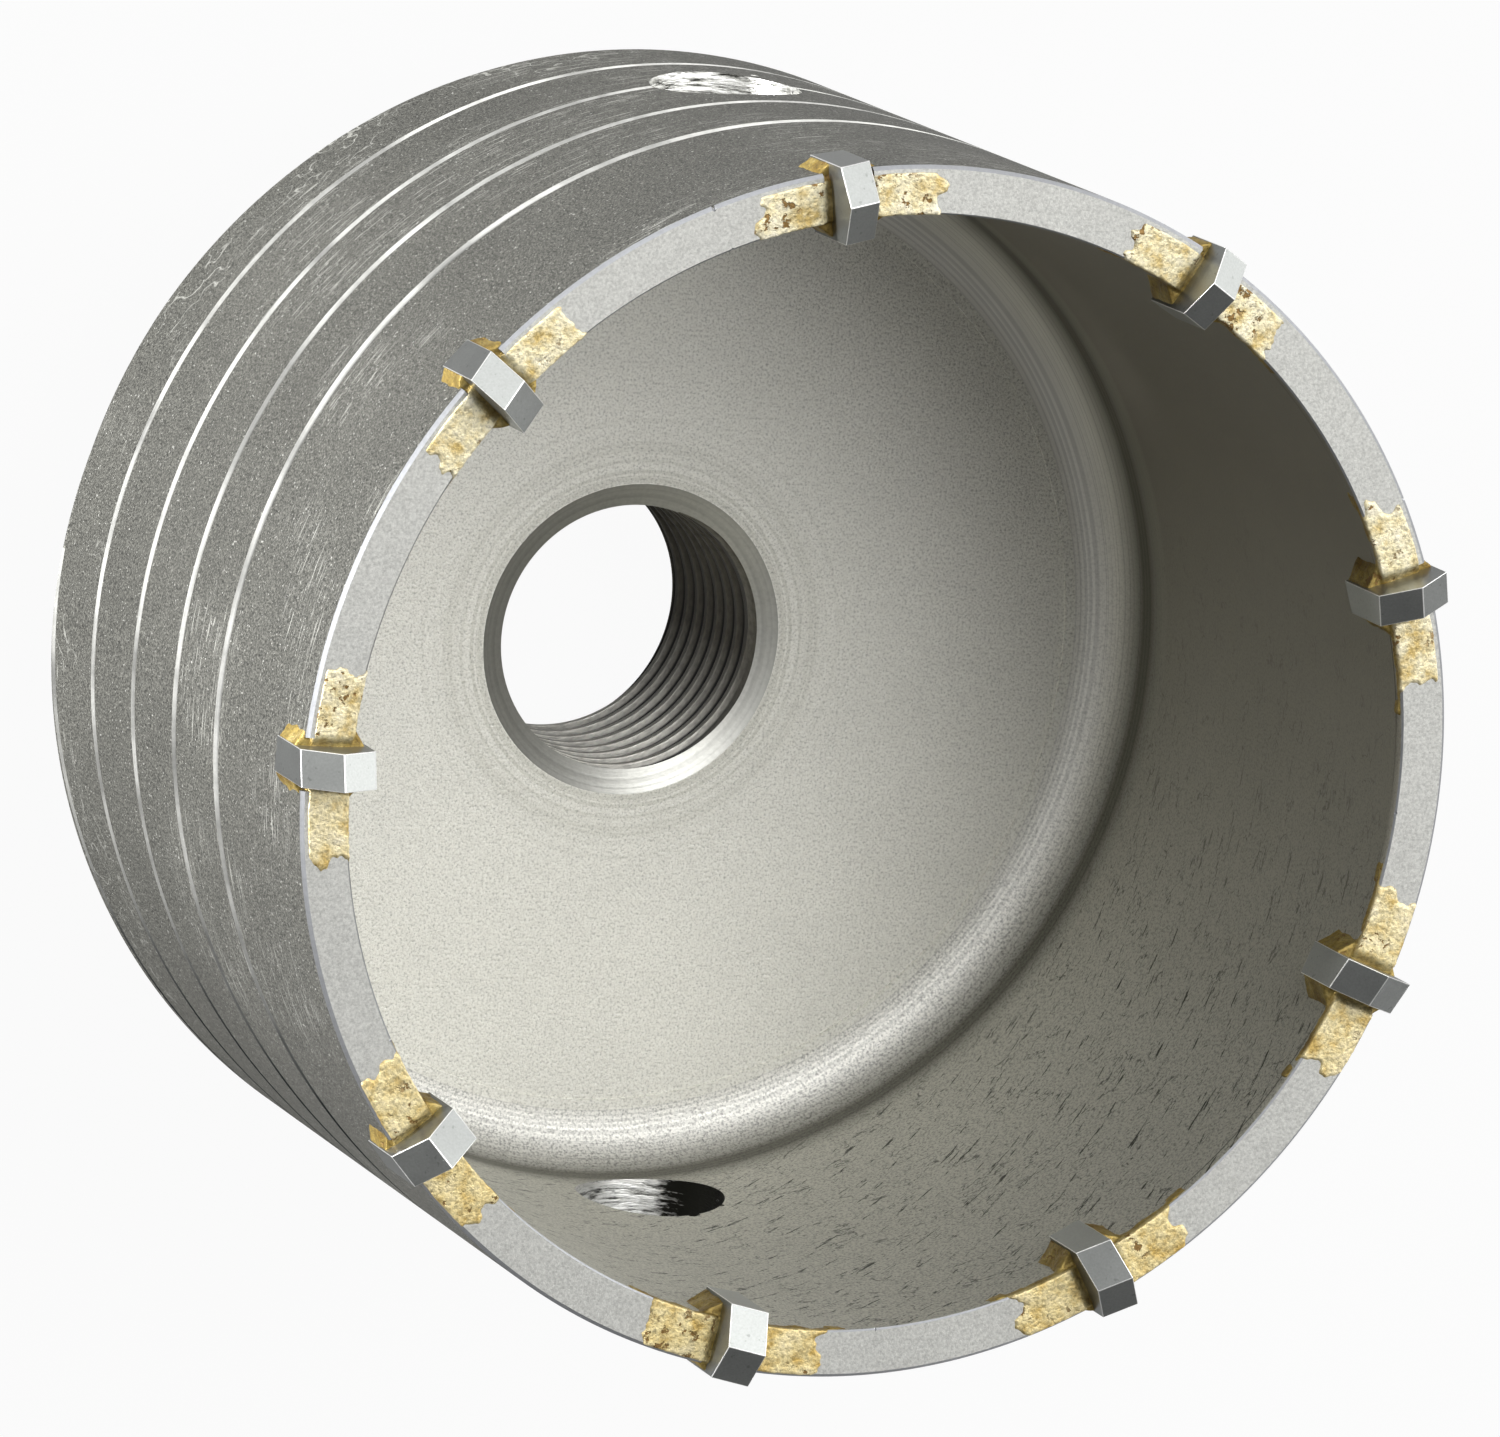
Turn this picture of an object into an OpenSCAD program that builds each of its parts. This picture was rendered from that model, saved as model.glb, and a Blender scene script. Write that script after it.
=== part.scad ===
// Hammer hole saw for masonry: a turned steel cup with a threaded hub at its
// back and nine hard-metal tips brazed into slots in its rim.
// Origin at the centre of the hub's back face, +Z along the axis to the tips.

/* [Cup] */
// Outer diameter of the cup
cup_d = 86; // [75:0.5:120]
// Thickness of the cup's wall
wall_t = 3.4; // [2.8:0.1:5]
// Depth of the cup from its rim to its floor
cup_depth = 48.4; // [42:0.1:80]
// Thickness of the floor plate
plate_t = 6.6; // [5:0.1:12]
// Radius of the fillet where the floor meets the wall
floor_fillet = 4; // [2:0.1:6]
// Width of the shallow step where the floor's turning stops
floor_step_w = 0.8; // [0.4:0.1:2]
// Height of that step
floor_step_h = 0.15; // [0.1:0.05:0.4]
// Chamfer on the back edge of the cup
back_chamfer = 0.8; // [0.3:0.1:2]
// Chamfer on the outer edge of the rim
rim_chamfer = 0.45; // [0.2:0.05:1]

/* [Hub] */
// Diameter of the hub behind the floor plate
hub_d = 38; // [32:0.5:60]
// Height of the hub
hub_h = 12.2; // [8:0.1:30]
// Chamfer on the hub's back edge
hub_chamfer = 1.2; // [0.5:0.1:2.5]
// Radius of the fillet between hub and floor plate
hub_fillet = 2.5; // [1:0.1:4]

/* [Threaded bore] */
// Inside diameter of the thread
bore_d = 19.84; // [14:0.02:28]
// Diameter of the lead-in cone at the floor
lead_front_d = 23.3; // [20:0.1:32]
// Depth of that cone
lead_front_depth = 0.9; // [0.5:0.1:3]
// Diameter of the lead-in cone at the back
lead_back_d = 22.4; // [20:0.1:32]
// Depth of the back cone
lead_back_depth = 1.2; // [0.5:0.1:3]

/* [Cross holes] */
// Diameter of the two holes for a knock-out bar
cross_d = 11; // [6:0.1:14]
// Height of their axis above the cup's floor
cross_above_floor = 10.7; // [9:0.1:20]
// Direction of the holes round the axis
cross_angle = 92; // [0:1:180]

/* [Dust groove] */
// Rise of the outer groove in one turn
groove_pitch = 9; // [6:0.1:14]
// Width of the groove at the wall's surface
groove_w = 0.8; // [0.5:0.1:2]
// Depth of the groove
groove_depth = 0.5; // [0.3:0.05:1]
// Turns of the groove
groove_turns = 4.35; // [2:0.05:4.5]
// Direction in which it leaves the back edge
groove_start = -15; // [-180:1:180]

/* [Tips] */
// Number of tips
tip_count = 9; // [6:1:12]
// Thickness of a tip, along the rim
tip_t = 2.5; // [1.8:0.1:3.5]
// How far a tip stands out past the cup's outer wall
tip_out = 0.65; // [0.3:0.05:1.2]
// How far it stands in past the inner wall
tip_in = 1.4; // [0.6:0.05:2]
// Height of the tip's ridge above the rim
tip_ridge_h = 3.2; // [2:0.1:5]
// Height of its outer shoulder above the rim
tip_outer_h = 1.7; // [0.8:0.1:3]
// Height of its inner shoulder above the rim
tip_inner_h = 1.8; // [0.8:0.1:3]
// How far the ridge lies inside the cup's outer wall
ridge_inset = 2; // [1:0.1:3]
// Depth of the slot below the rim
slot_depth = 4.2; // [3:0.1:7]
// Fall of the tip's top behind its cutting edge, in degrees
relief = 20; // [5:1:25]

/* [Braze] */
// Width of the braze seam on each side of a tip
seam_w = 0.6; // [0.3:0.05:1]
// Thickness of the braze under a tip's foot
foot_seam = 0.3; // [0.1:0.05:0.6]
// Thickness of the braze that ran out over the rim
skin_t = 0.12; // [0.05:0.01:0.3]
// Length of rim covered on each side of a tip
skin_l = 5.6; // [3:0.1:7]
// Length of the fillet beside a tip on the outer wall
wing_out_l = 1.9; // [1:0.1:3]
// Length of the fillet beside a tip on the inner wall
wing_in_l = 2.4; // [1:0.1:3]

/* [Hidden] */
$fn = 120;
eps = 0.01;
cup_r = cup_d / 2;
inner_r = cup_r - wall_t;
floor_z = hub_h + plate_t;
rim_z = floor_z + cup_depth;
fillet_r = inner_r - floor_fillet;
slot_w = tip_t + 2 * seam_w;
slot_z = rim_z - slot_depth;
tip_outer_r = cup_r + tip_out;
tip_inner_r = inner_r - tip_in;
foot_z = slot_z + foot_seam;
wing_margin = 0.15;
relief_drop = tip_t * tan(relief);
groove_steps = 60;
groove_lead = 60;
groove_z = hub_h + back_chamfer - groove_pitch * groove_lead / 360;
fade_steps = 12;
cross_z = floor_z + cross_above_floor;

function tip_angle(i) = (i - 1) * 360 / tip_count;

// Points of a concave quarter round about centre c, from angle a to angle b.
function arc(c, r, a, b, n = 12) =
    [for (i = [0:n]) let (t = a + (b - a) * i / n) c + r * [cos(t), sin(t)]];

// Half section of the cup and its hub, from the bore to the wall.
module cup_section() {
    bore_r = bore_d / 2;
    polygon(concat(
        [[lead_back_d / 2, 0], [hub_d / 2 - hub_chamfer, 0], [hub_d / 2, hub_chamfer]],
        arc([hub_d / 2 + hub_fillet, hub_h - hub_fillet], hub_fillet, 180, 90),
        [[cup_r - back_chamfer, hub_h], [cup_r, hub_h + back_chamfer],
         [cup_r, rim_z - rim_chamfer], [cup_r - rim_chamfer, rim_z], [inner_r, rim_z]],
        arc([fillet_r, floor_z + floor_fillet], floor_fillet, 0, -90),
        [[fillet_r - floor_step_w, floor_z], [fillet_r - floor_step_w, floor_z - floor_step_h],
         [lead_front_d / 2, floor_z - floor_step_h],
         [bore_r, floor_z - floor_step_h - lead_front_depth], [bore_r, lead_back_depth]]));
}

// Ring of the cup's wall from the slots' floor up, which the slots cut.
module rim_ring(bottom, top) {
    difference() {
        translate([0, 0, bottom]) cylinder(r = cup_r, h = top - bottom);
        translate([0, 0, bottom - 1]) cylinder(r = inner_r, h = top - bottom + 2);
    }
}

// Block across the wall for one slot, on the +X side.
module slot_block() {
    translate([inner_r - 3, -slot_w / 2, slot_z]) cube([wall_t + 6, slot_w, slot_depth + 2]);
}

// Helical V groove, swept as one body; it runs in through the back edge
// and fades out over its last steps.
module groove_cutter() {
    count = round(groove_steps * (groove_turns + groove_lead / 360));
    over = 0.4;
    half = groove_w / 2 * (1 + over / groove_depth);
    function at(i) = groove_start - groove_lead + i * 360 / groove_steps;
    function depth(i) = groove_depth * min(1, (count - i) / fade_steps);
    function ring(i) = let (a = at(i), z = groove_z + i * groove_pitch / groove_steps,
        bottom = cup_r - depth(i) + eps, lip = cup_r + over) [
        [bottom * cos(a), bottom * sin(a), z],
        [lip * cos(a), lip * sin(a), z - half],
        [lip * cos(a), lip * sin(a), z + half]];
    points = [for (i = [0:count]) each ring(i)];
    sides = [for (i = [0:count - 1], k = [0:2]) let (j = (k + 1) % 3, b = 3 * i)
        each [[b + k, b + j, b + 3 + j], [b + k, b + 3 + j, b + 3 + k]]];
    polyhedron(points, concat([[2, 1, 0]], sides, [[3 * count, 3 * count + 1, 3 * count + 2]]));
}

// One-piece turned cup: hub, floor, wall, bore, cross holes, groove and slots.
module cup_body() {
    color("darkgray") difference() {
        rotate_extrude() cup_section();
        rotate([0, 0, cross_angle]) translate([-cup_r - 1, 0, cross_z]) rotate([0, 90, 0])
            cylinder(d = cross_d, h = cup_d + 2);
        groove_cutter();
        for (i = [1:tip_count]) rotate([0, 0, tip_angle(i)]) slot_block();
    }
}

// Five-sided plate that stands across the wall; its top falls behind the cutting edge.
module tip_shape() {
    ridge_r = cup_r - ridge_inset;
    front = [[tip_outer_r, foot_z], [tip_outer_r, rim_z + tip_outer_h],
        [ridge_r, rim_z + tip_ridge_h], [tip_inner_r, rim_z + tip_inner_h], [tip_inner_r, foot_z]];
    function drop(k) = k == 0 || k == 4 ? 0 : relief_drop;
    points = concat([for (p = front) [p[0], tip_t / 2, p[1]]],
        [for (k = [0:4]) [front[k][0], -tip_t / 2, front[k][1] - drop(k)]]);
    sides = [for (k = [0:4]) let (j = (k + 1) % 5) each [[k, j, j + 5], [k, j + 5, k + 5]]];
    polyhedron(points, concat([[4, 3, 2, 1, 0]], [[5, 6, 7, 8, 9]], sides));
}

module carbide_tip(i) {
    color("slategray") rotate([0, 0, tip_angle(i)]) tip_shape();
}

// Box that the sunk part of a tip fills.
module tip_pocket() {
    translate([tip_inner_r, -tip_t / 2, foot_z])
        cube([tip_outer_r - tip_inner_r, tip_t, slot_depth]);
}

// Fillets of braze from the tip's overhanging ends down to the wall.
module braze_wings() {
    reach_out = tip_t / 2 + wing_out_l;
    reach_in = tip_t / 2 + wing_in_l;
    translate([0, 0, slot_z + wing_margin])
        linear_extrude(slot_depth - rim_chamfer - 2 * wing_margin) {
            polygon([[cup_r - wall_t / 3, -reach_out], [tip_outer_r - wing_margin, 0],
                [cup_r - wall_t / 3, reach_out]]);
            polygon([[inner_r + wall_t / 3, reach_in], [tip_inner_r + wing_margin, 0],
                [inner_r + wall_t / 3, -reach_in]]);
        }
}

// Thin layer that ran out over the rim beside the tip.
module braze_skin() {
    sweep = 2 * asin((slot_w / 2 + skin_l) / cup_r);
    rotate([0, 0, -sweep / 2]) rotate_extrude(angle = sweep)
        translate([inner_r, rim_z]) square([wall_t - rim_chamfer, skin_t]);
}

module braze(i) {
    color("khaki") rotate([0, 0, tip_angle(i)]) difference() {
        union() {
            intersection() {
                rim_ring(slot_z, rim_z + skin_t);
                slot_block();
            }
            difference() {
                braze_wings();
                difference() {
                    rim_ring(slot_z - 1, rim_z);
                    slot_block();
                }
            }
            braze_skin();
        }
        tip_pocket();
    }
}

cup_body();
for (i = [1:tip_count]) carbide_tip(i);
for (i = [1:tip_count]) braze(i);
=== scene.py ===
import math
import random

import bmesh
import bpy
from mathutils import Matrix, Vector, noise


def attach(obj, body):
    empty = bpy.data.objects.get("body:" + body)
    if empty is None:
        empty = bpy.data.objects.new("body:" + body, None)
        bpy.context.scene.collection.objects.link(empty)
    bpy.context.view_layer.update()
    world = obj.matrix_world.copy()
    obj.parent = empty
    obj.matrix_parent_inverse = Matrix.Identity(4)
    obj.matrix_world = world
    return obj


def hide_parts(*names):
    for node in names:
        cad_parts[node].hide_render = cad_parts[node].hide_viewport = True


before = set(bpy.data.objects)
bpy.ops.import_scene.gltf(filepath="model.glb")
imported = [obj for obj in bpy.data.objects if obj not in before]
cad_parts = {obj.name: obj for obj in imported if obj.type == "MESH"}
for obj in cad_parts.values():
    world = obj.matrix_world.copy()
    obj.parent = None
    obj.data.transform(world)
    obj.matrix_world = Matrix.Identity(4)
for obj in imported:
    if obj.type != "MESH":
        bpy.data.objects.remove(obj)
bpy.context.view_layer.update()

scene = bpy.context.scene
MM = 0.001

# Camera. A long lens looks down into the cup from the side of the teeth, 25
# degrees off its axis, and is rolled so that the bore lies left of the middle.
view_azimuth = math.radians(-25.05)
view_elevation = math.radians(64.79)
view_roll = math.radians(118.76)
view_distance = 752.1 * MM
view_aim = Vector((-3.14, 2.46, 34.9)) * MM
lens_mm = 249.5

to_camera = Vector((math.cos(view_elevation) * math.cos(view_azimuth),
                    math.cos(view_elevation) * math.sin(view_azimuth),
                    math.sin(view_elevation)))
camera = bpy.data.objects.new("camera", bpy.data.cameras.new("camera"))
scene.collection.objects.link(camera)
camera.data.lens = lens_mm
camera.data.sensor_width = 36.0
camera.data.sensor_fit = "HORIZONTAL"
camera.data.clip_start = 0.05
camera.matrix_world = (Matrix.Translation(view_aim + to_camera * view_distance)
                       @ to_camera.to_track_quat("Z", "Y").to_matrix().to_4x4()
                       @ Matrix.Rotation(view_roll, 4, "Z"))
scene.camera = camera

# Cup. One piece turned from steel: a hub with a threaded bore, a floor plate
# and a thick wall, then bored through crosswise, grooved outside and slotted
# at the rim for the tips. Its skin is blasted after the brazing.
cup_r = 43.0 * MM
inner_r = 39.6 * MM
hub_r = 19.0 * MM
hub_h = 12.2 * MM
floor_z = 18.8 * MM
rim_z = 67.2 * MM
fillet = 4.0 * MM
back_chamfer = 0.8 * MM
rim_chamfer = 0.25 * MM
rim_break = 0.12 * MM
hub_chamfer = 1.2 * MM
hub_fillet = 2.5 * MM
step_w = 0.8 * MM
step_h = 0.15 * MM
bore_r = 9.92 * MM
lead_r = 11.65 * MM
lead_depth = 0.9 * MM
back_lead_r = 11.2 * MM
back_lead_depth = 1.2 * MM
turn_steps = 360


def arc(centre_r, centre_z, radius, start, stop, steps=10):
    """Points of an arc in the half section, from one angle in degrees to another."""
    angles = [math.radians(start + (stop - start) * i / steps) for i in range(steps + 1)]
    return [(centre_r + radius * math.cos(a), centre_z + radius * math.sin(a)) for a in angles]


def finish_mesh(name, bm):
    """Makes an object at the origin from a bmesh."""
    mesh = bpy.data.meshes.new(name)
    bm.to_mesh(mesh)
    bm.free()
    piece = bpy.data.objects.new(name, mesh)
    scene.collection.objects.link(piece)
    return piece


def revolve(name, section):
    """Solid of revolution about Z from a closed half section."""
    bm = bmesh.new()
    verts = [bm.verts.new((r, 0, z)) for r, z in section]
    edges = [bm.edges.new((verts[i], verts[(i + 1) % len(verts)])) for i in range(len(verts))]
    bmesh.ops.spin(bm, geom=verts + edges, cent=(0, 0, 0), axis=(0, 0, 1), dvec=(0, 0, 0),
                   angle=2 * math.pi, steps=turn_steps, use_merge=True, use_duplicate=False)
    bmesh.ops.remove_doubles(bm, verts=bm.verts, dist=1e-7)
    bmesh.ops.recalc_face_normals(bm, faces=bm.faces)
    return finish_mesh(name, bm)


def cut(piece, cutter):
    """Cuts one solid out of another for good."""
    boolean = piece.modifiers.new("cut", "BOOLEAN")
    boolean.operation = "DIFFERENCE"
    boolean.solver = "MANIFOLD"
    boolean.object = cutter
    evaluated = piece.evaluated_get(bpy.context.evaluated_depsgraph_get())
    mesh = bpy.data.meshes.new_from_object(evaluated)
    piece.modifiers.clear()
    piece.data = mesh
    bpy.data.objects.remove(cutter)


def helix_cutter(name, section, start_angle, start_z, pitch, turns, steps_per_turn):
    """A closed section swept along a helix, one ring of points for each step."""
    steps = round(turns * steps_per_turn)
    bm = bmesh.new()
    turn = Matrix.Rotation(start_angle, 3, "Z")
    face = bm.faces.new([bm.verts.new(turn @ Vector((r, 0, start_z + z))) for r, z in section])
    bmesh.ops.spin(bm, geom=[face], cent=(0, 0, 0), axis=(0, 0, 1), dvec=(0, 0, pitch / steps_per_turn),
                   angle=2 * math.pi * steps / steps_per_turn, steps=steps,
                   use_merge=False, use_duplicate=False)
    open_edges = [e for e in bm.edges if e.is_boundary]
    if open_edges:
        bmesh.ops.holes_fill(bm, edges=open_edges, sides=0)
    bmesh.ops.recalc_face_normals(bm, faces=bm.faces)
    return finish_mesh(name, bm)


cup_section = [(back_lead_r, 0), (hub_r - hub_chamfer, 0), (hub_r, hub_chamfer)]
cup_section += arc(hub_r + hub_fillet, hub_h - hub_fillet, hub_fillet, 180, 90)
cup_section += [(cup_r - back_chamfer, hub_h), (cup_r, hub_h + back_chamfer),
                (cup_r, rim_z - rim_chamfer), (cup_r - rim_chamfer, rim_z),
                (inner_r + rim_break, rim_z), (inner_r, rim_z - rim_break)]
cup_section += arc(inner_r - fillet, floor_z + fillet, fillet, 0, -90, 16)
cup_section += [(inner_r - fillet - step_w, floor_z), (inner_r - fillet - step_w, floor_z - step_h),
                (lead_r, floor_z - step_h), (bore_r, floor_z - step_h - lead_depth),
                (bore_r, back_lead_depth)]
cup = revolve("cup", cup_section)

# Thread of the bore: metric, 2 mm pitch, cut from the back, with a run-out
# in the lead-in cone at the floor.
thread_pitch = 2.0 * MM
thread_turns = 9.72
thread_steps = 90
thread_start_z = -1.5 * MM
root_r = 11.0 * MM
root_flat = 0.25 * MM
inside_r = 9.6 * MM
flank = math.tan(math.radians(30)) * (root_r - inside_r)
thread_section = [(inside_r, -root_flat / 2 - flank), (root_r, -root_flat / 2),
                  (root_r, root_flat / 2), (inside_r, root_flat / 2 + flank)]
thread = helix_cutter("thread_cutter", thread_section, 0, thread_start_z, thread_pitch, thread_turns, thread_steps)
run_out = 26
for index, vert in enumerate(thread.data.vertices):
    steps_left = round(thread_turns * thread_steps) - index // len(thread_section)
    radius = math.hypot(vert.co.x, vert.co.y)
    vert.co.xy *= 1 - (root_r - bore_r) * max(0, 1 - steps_left / run_out) / radius
cut(cup, thread)

# Dust groove: one start, 9 mm pitch, right-handed. It runs in through the back
# edge, climbs towards the rim, gets a little deeper in its last turns, and
# runs out.
groove_pitch = 9.0 * MM
groove_w = 0.8 * MM
groove_depth = 0.5 * MM
groove_lead = 60
groove_start = math.radians(-15 - groove_lead)
groove_turns = 4.35 + groove_lead / 360
groove_steps = 120
fade_steps = 24
deeper_from, deeper_over, deeper_by = 2.6 * groove_steps, 1.7 * groove_steps, 0.16 * MM
over = 0.4 * MM
lip = groove_w / 2 * (1 + over / groove_depth)
groove_section = [(cup_r - groove_depth, 0), (cup_r + over, -lip), (cup_r + over, lip)]
groove_start_z = hub_h + back_chamfer - groove_pitch * groove_lead / 360
groove = helix_cutter("groove_cutter", groove_section, groove_start, groove_start_z, groove_pitch,
                      groove_turns, groove_steps)
last = round(groove_turns * groove_steps)
for index, vert in enumerate(groove.data.vertices):
    step = index // len(groove_section)
    deeper = deeper_by * max(0, step - deeper_from) / deeper_over
    shallower = groove_depth * max(0, 1 - (last - step) / fade_steps)
    radius = math.hypot(vert.co.x, vert.co.y)
    vert.co.xy *= (radius - deeper + shallower) / radius
cut(cup, groove)

# Cross holes for the bar, drilled through both walls.
cross_r = 5.5 * MM
cross_z = floor_z + 10.7 * MM
cross_angle = math.radians(92)
through = (Matrix.Translation((0, 0, cross_z)) @ Matrix.Rotation(cross_angle, 4, "Z")
           @ Matrix.Rotation(math.pi / 2, 4, "Y"))
cross_length = 2.2 * cup_r
bm = bmesh.new()
bmesh.ops.create_cone(bm, cap_ends=True, segments=96, radius1=cross_r, radius2=cross_r,
                      depth=cross_length, matrix=through)
cut(cup, finish_mesh("cross_cutter", bm))

# Slots in the rim, one for each tip.
tip_count = 9
tip_step = 2 * math.pi / tip_count
slot_w = 3.7 * MM
slot_depth = 4.2 * MM
slot_middle_r, slot_length = 41 * MM, 12 * MM
bm = bmesh.new()
for i in range(tip_count):
    place = (Matrix.Rotation(i * tip_step, 4, "Z") @ Matrix.Translation((slot_middle_r, 0, rim_z))
             @ Matrix.Diagonal((slot_length, slot_w, 2 * slot_depth, 1)))
    bmesh.ops.create_cube(bm, size=1, matrix=place)
cut(cup, finish_mesh("slot_cutter", bm))

# Nicks in the edges of the rim and of the cross holes: angle about the axis,
# radius, height, and length along the edge, in degrees and millimetres. Many
# small ones lie scattered over the rim's edges. Both seeds are set, so that
# each run gives the same nicks.
nicks = [(-53.5, 39.45, 67.35, 1.3), (-68.0, 39.45, 67.3, 1.6), (-66.5, 42.95, 67.15, 0.35),
         (-102.0, 39.4, 67.35, 0.9), (-31.0, 39.45, 67.3, 0.8), (-150.9, 43.05, 67.2, 0.5),
         (94.0, 39.5, 34.95, 1.1), (98.1, 39.5, 33.1, 0.5), (-86.0, 43.2, 24.2, 1.0),
         (-94.0, 43.15, 24.0, 0.8)]
small_nicks, outside_share = 26, 0.4
outer_edge, inner_edge, edge_level = 43.12, 39.5, 67.28
nick_width, nick_height, nick_rough = 0.32 * MM, 0.3 * MM, 0.05 * MM
dice = random.Random(7)
noise.seed_set(7)
for _ in range(small_nicks):
    edge = outer_edge if dice.random() < outside_share else inner_edge
    nicks.append((dice.uniform(-180, 180), edge, edge_level, dice.uniform(0.15, 0.4)))
bm = bmesh.new()
for angle, radius, height, length in nicks:
    place = (Matrix.Rotation(math.radians(angle), 4, "Z")
             @ Matrix.Translation(Vector((radius, 0, height)) * MM)
             @ Matrix.Rotation(dice.uniform(-0.4, 0.4), 4, "X")
             @ Matrix.Diagonal((nick_width, length / 2 * MM, nick_height, 1)))
    chip = bmesh.ops.create_icosphere(bm, subdivisions=2, radius=1, matrix=place)
    for vert in chip["verts"]:
        vert.co += nick_rough * noise.noise_vector(vert.co / MM * 3)
bmesh.ops.recalc_face_normals(bm, faces=bm.faces)
cut(cup, finish_mesh("nick_cutter", bm))


def shader(name, metallic, roughness):
    """A new material with the tools to build its nodes."""
    material = bpy.data.materials.new(name)
    material.use_nodes = True
    nodes, links = material.node_tree.nodes, material.node_tree.links
    bsdf = nodes["Principled BSDF"]
    bsdf.inputs["Metallic"].default_value = metallic
    bsdf.inputs["Roughness"].default_value = roughness
    return material, nodes, links, bsdf


def noise_node(nodes, links, scale, detail=2.0, rough=0.5, stretch=(1, 1, 1), tilt=0.0):
    """Noise on the piece's own place, squeezed along its axes by stretch and turned about Y by tilt."""
    mapping = nodes.new("ShaderNodeMapping")
    mapping.vector_type = "TEXTURE"
    mapping.inputs["Scale"].default_value = [1 / s for s in stretch]
    mapping.inputs["Rotation"].default_value = (0, tilt, 0)
    links.new(nodes.new("ShaderNodeTexCoord").outputs["Object"], mapping.inputs["Vector"])
    node = nodes.new("ShaderNodeTexNoise")
    node.inputs["Scale"].default_value = scale
    node.inputs["Detail"].default_value = detail
    node.inputs["Roughness"].default_value = rough
    links.new(mapping.outputs["Vector"], node.inputs["Vector"])
    return node.outputs["Fac"]


def own_place(nodes, links):
    """The piece's own X, Y and Z."""
    split = nodes.new("ShaderNodeSeparateXYZ")
    links.new(nodes.new("ShaderNodeTexCoord").outputs["Object"], split.inputs["Vector"])
    return split


def axis_distance(nodes, links):
    """Distance from the cup's axis, and height."""
    split = own_place(nodes, links)
    flat = nodes.new("ShaderNodeCombineXYZ")
    links.new(split.outputs["X"], flat.inputs["X"])
    links.new(split.outputs["Y"], flat.inputs["Y"])
    length = nodes.new("ShaderNodeVectorMath")
    length.operation = "LENGTH"
    links.new(flat.outputs["Vector"], length.inputs[0])
    return length.outputs["Value"], split.outputs["Z"]


def ring_noise(nodes, links, scale, detail=3.0):
    """Noise that is the same all round the axis, as turning marks are."""
    distance, height = axis_distance(nodes, links)
    place = nodes.new("ShaderNodeCombineXYZ")
    links.new(distance, place.inputs["X"])
    links.new(height, place.inputs["Z"])
    node = nodes.new("ShaderNodeTexNoise")
    node.inputs["Scale"].default_value = scale
    node.inputs["Detail"].default_value = detail
    links.new(place.outputs["Vector"], node.inputs["Vector"])
    return node.outputs["Fac"]


def ramp(nodes, links, source, stops):
    """Colours, or greys where a stop is one number, read off along the source."""
    node = nodes.new("ShaderNodeValToRGB")
    elements = node.color_ramp.elements
    while len(elements) < len(stops):
        elements.new(0.5)
    for element, (place, colour) in zip(elements, stops):
        element.position = place
        element.color = (*colour, 1) if isinstance(colour, tuple) else (colour, colour, colour, 1)
    links.new(source, node.inputs["Fac"])
    return node.outputs["Color"]


def blend_colour(nodes, links, how, amount, first, second):
    """Lays the second colour over the first; amount is a number or a mask."""
    mix = nodes.new("ShaderNodeMix")
    mix.data_type = "RGBA"
    mix.blend_type = how
    if isinstance(amount, float):
        mix.inputs[0].default_value = amount
    else:
        links.new(amount, mix.inputs[0])
    links.new(first, mix.inputs[6])
    if isinstance(second, tuple):
        mix.inputs[7].default_value = (*second, 1)
    else:
        links.new(second, mix.inputs[7])
    return mix.outputs[2]


def relief(nodes, links, bsdf, layers):
    """Bumps laid over each other: (height, strength, distance) for each."""
    normal = None
    for height, strength, distance in layers:
        bump = nodes.new("ShaderNodeBump")
        bump.inputs["Strength"].default_value = strength
        bump.inputs["Distance"].default_value = distance
        links.new(height, bump.inputs["Height"])
        if normal:
            links.new(normal, bump.inputs["Normal"])
        normal = bump.outputs["Normal"]
    links.new(normal, bsdf.inputs["Normal"])


def between(nodes, links, source, low, high):
    """0 at low, 1 at high."""
    spread = nodes.new("ShaderNodeMapRange")
    spread.inputs["From Min"].default_value = low
    spread.inputs["From Max"].default_value = high
    links.new(source, spread.inputs["Value"])
    return spread.outputs["Result"]


def product(nodes, links, first, second):
    """One mask times another."""
    node = nodes.new("ShaderNodeMath")
    node.operation = "MULTIPLY"
    links.new(first, node.inputs[0])
    links.new(second, node.inputs[1])
    return node.outputs["Value"]


def hairlines(nodes, links, scale, stretch, width, where):
    """Thin wandering lines, kept only where the mask is."""
    lines = ramp(nodes, links, noise_node(nodes, links, scale, 2, 0.5, stretch),
                 [(0.5 - width, 0.0), (0.5, 1.0), (0.5 + width, 0.0)])
    return product(nodes, links, lines, where)


def rough_range(nodes, links, bsdf, source, low, high):
    """Roughness between two values, as the source says."""
    spread = nodes.new("ShaderNodeMapRange")
    spread.inputs["To Min"].default_value = low
    spread.inputs["To Max"].default_value = high
    links.new(source, spread.inputs["Value"])
    links.new(spread.outputs["Result"], bsdf.inputs["Roughness"])


def shade(colour, factor):
    """The colour times a factor."""
    return tuple(factor * c for c in colour)


def darken(nodes, links, amount, colour, source, stops):
    """Multiplies a colour by a ramp of greys."""
    return blend_colour(nodes, links, "MULTIPLY", amount, colour, ramp(nodes, links, source, stops))


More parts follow.
